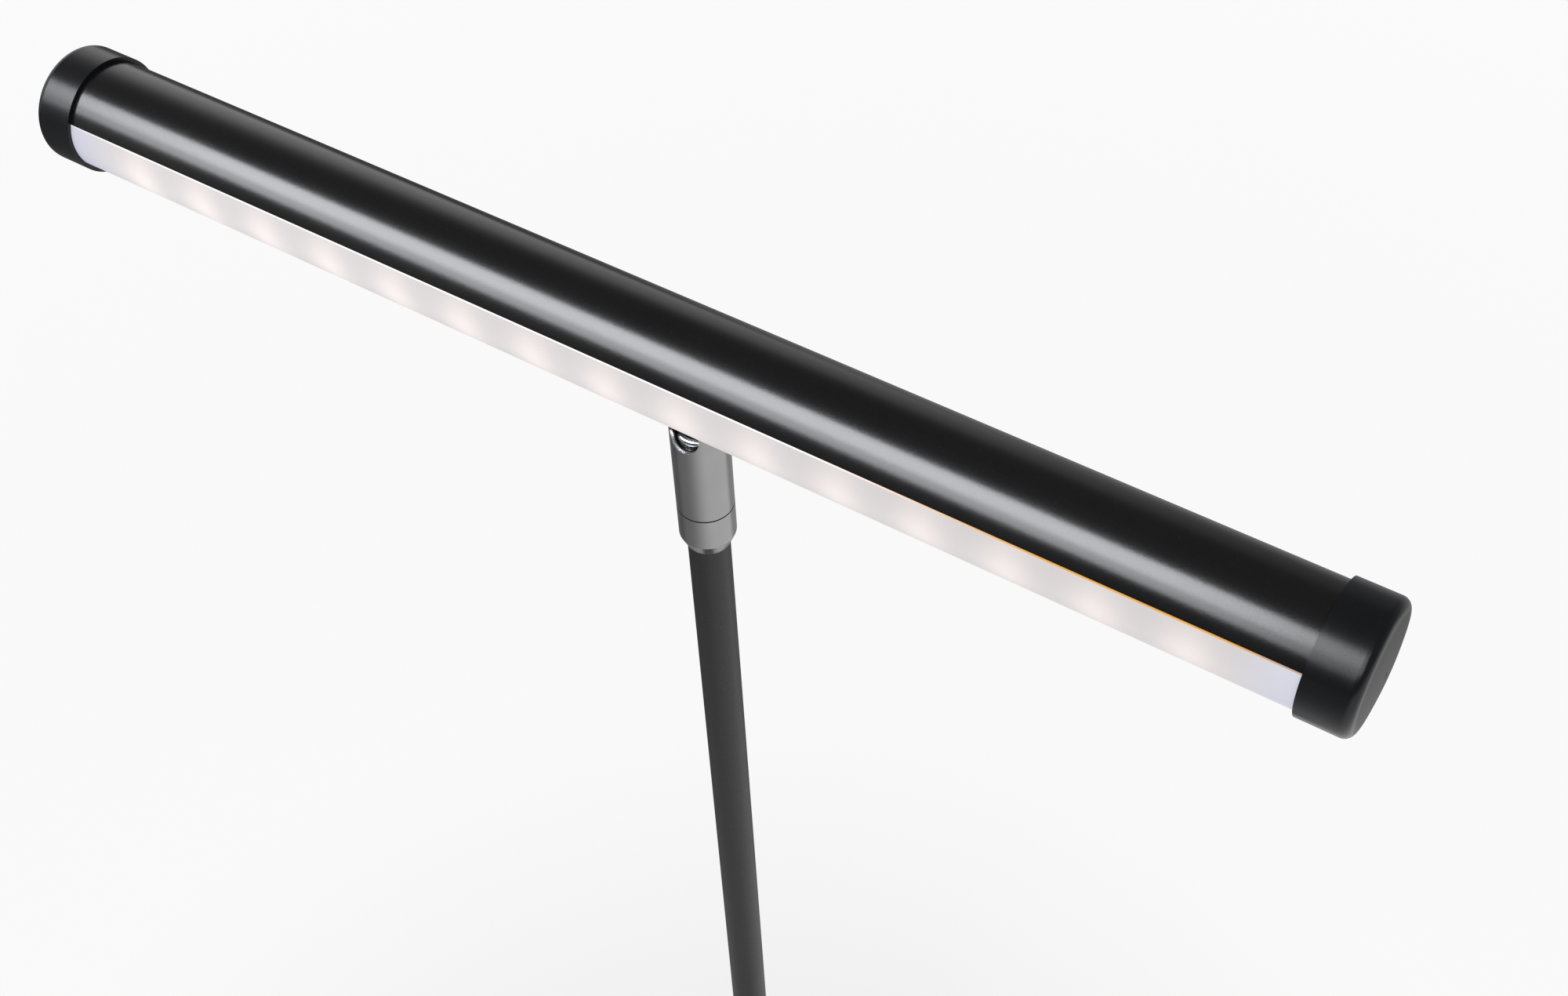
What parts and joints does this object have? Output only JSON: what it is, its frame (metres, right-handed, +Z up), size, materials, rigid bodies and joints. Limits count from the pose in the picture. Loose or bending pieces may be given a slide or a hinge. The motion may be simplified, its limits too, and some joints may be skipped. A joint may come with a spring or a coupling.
{
  "type": "piano lamp",
  "caption": "Round light bar with an opal window on a slotted ball swivel, straight pole and weighted base with a push and turn dimmer knob.",
  "frame": {"origin": "middle of the felt pad's underside, on the table", "axes": "+Z up along the pole, +X along the light bar to the right as seen from the front, +Y to the back; the pianist sits on the -Y side"},
  "size_m": [0.377, 0.13, 0.6761],
  "materials": {
    "black_anodised": "satin black anodised",
    "opal_plastic": "opal, frosted",
    "black_plastic": "satin black moulded",
    "laminate": "lacquered laminate",
    "white_plastic": "white moulded",
    "steel": "bright turned",
    "nickel": "nickel plated",
    "black_nickel": "dark nickel plated, satin",
    "black_paint": "satin black powder coat",
    "bracket_paint": "satin black coated casting",
    "iron": "raw casting",
    "brass": "plain",
    "rubber": "matt",
    "felt": "pressed felt"
  },
  "bodies": {
    "base": {"swivel_collar": "black_nickel", "top_nipple": "steel", "pole_top_plug": "steel", "pole": "black_paint", "pole_bottom_plug": "steel", "bottom_nipple": "steel", "pole_lead": "rubber", "pole_socket": "black_paint", "base_cover": "black_paint", "base_weight": "iron", "base_plate": "steel", "felt_pad": "felt", "base_screws": "steel", "nipple_washer": "steel", "nipple_nut": "brass", "driver_board": "laminate", "board_parts": "black_plastic", "board_pillars": "steel", "power_inlet": "black_plastic", "inlet_pin": "nickel", "dimmer_body": "steel", "dimmer_nut": "nickel", "dimmer_lead": "rubber"},
    "swivel": {"swivel_body": "black_nickel", "ball_seat": "white_plastic", "seat_springs": "steel", "collar_clip": "steel"},
    "ball": {"swivel_ball": "steel"},
    "head": {"head_tube": "black_anodised", "diffuser": "opal_plastic", "left_end_cap": "black_plastic", "right_end_cap": "black_plastic", "led_board": "laminate", "led_chips": "white_plastic", "clamp_strip": "steel", "bracket": "bracket_paint", "bracket_screws": "nickel", "head_lead": "rubber", "swivel_neck": "nickel", "neck_nut": "nickel", "neck_clip": "steel"},
    "plunger": {"switch_plunger": "white_plastic"},
    "knob": {"dimmer_spindle": "steel", "dimmer_knob": "black_anodised"}
  },
  "joints": [
    {"name": "swivel_turn", "type": "hinge", "parent": "base", "child": "swivel", "pos_m": [0, 0.04, 0.62203], "axis": [0, 0, 1], "range_deg": [-170, 170]},
    {"name": "neck_tilt", "type": "hinge", "parent": "swivel", "child": "ball", "pos_m": [0, 0.04, 0.62203], "axis": [1, 0, 0], "range_deg": [-28, 62]},
    {"name": "head_twist", "type": "hinge", "parent": "ball", "child": "head", "pos_m": [0, 0.04, 0.62203], "axis": [0, -0.4695, 0.8829], "range_deg": [-170, 170]},
    {"name": "knob_press", "type": "slide", "parent": "base", "child": "plunger", "axis": [0, 0, -1], "range_m": [0, 0.0008], "stiffness_N_per_m": 1500, "springref_m": -0.0015},
    {"name": "knob_turn", "type": "hinge", "parent": "plunger", "child": "knob", "pos_m": [0.058, -0.036, 0.03], "axis": [0, 0, 1], "range_deg": [-135, 135]}
  ]
}
